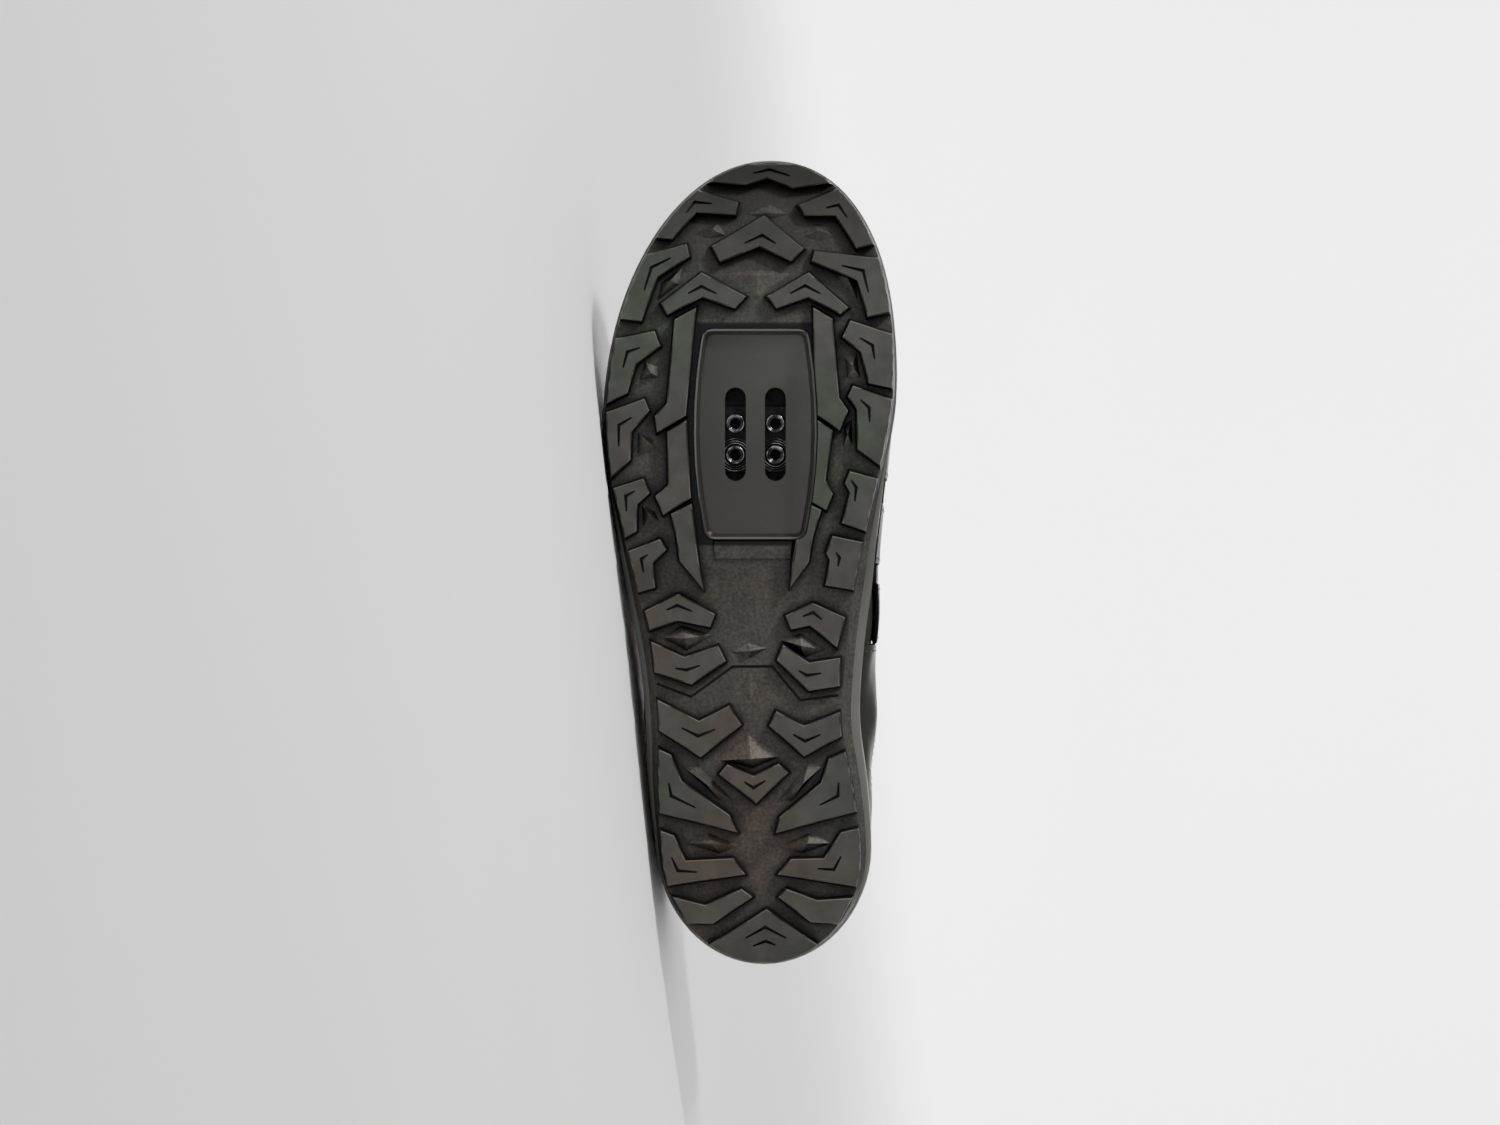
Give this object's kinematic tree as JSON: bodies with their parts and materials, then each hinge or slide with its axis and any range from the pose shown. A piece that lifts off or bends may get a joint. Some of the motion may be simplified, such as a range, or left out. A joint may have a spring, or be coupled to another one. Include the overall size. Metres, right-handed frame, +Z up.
{
  "type": "cycling shoe",
  "caption": "Right off-road cycling shoe on its side, with lugged rubber sole, recessed slotted cleat plate, hollow upper, tongue and three straps.",
  "frame": {"origin": "centre of the bounding box in X and Y, on the floor that the shoe's lateral side lies on", "axes": "-X towards the toe, +Z up from the floor to the shoe's medial side, -Y out of the sole's tread, which leans back a few degrees"},
  "size_m": [0.2808, 0.1282, 0.1054],
  "materials": {
    "outsole_rubber": "matte, fine stipple",
    "midsole_rubber": "matte",
    "cleat_plastic": "satin",
    "nut_steel": "black oxide",
    "upper_synthetic": "synthetic leather and mesh",
    "overlay_synthetic": "smooth synthetic leather",
    "lining_fabric": "knitted",
    "insole_fabric": "felted",
    "strap_synthetic": "grained"
  },
  "bodies": {
    "root": {"outsole": "outsole_rubber", "midsole": "midsole_rubber", "cleat_plate": "cleat_plastic", "cleat_nut_plate": "nut_steel", "upper": "upper_synthetic", "toe_cap": "overlay_synthetic", "heel_counter": "overlay_synthetic", "tongue": "lining_fabric", "insole": "insole_fabric", "strap_front": "strap_synthetic", "strap_middle": "strap_synthetic", "strap_top": "strap_synthetic"}
  },
  "joints": []
}
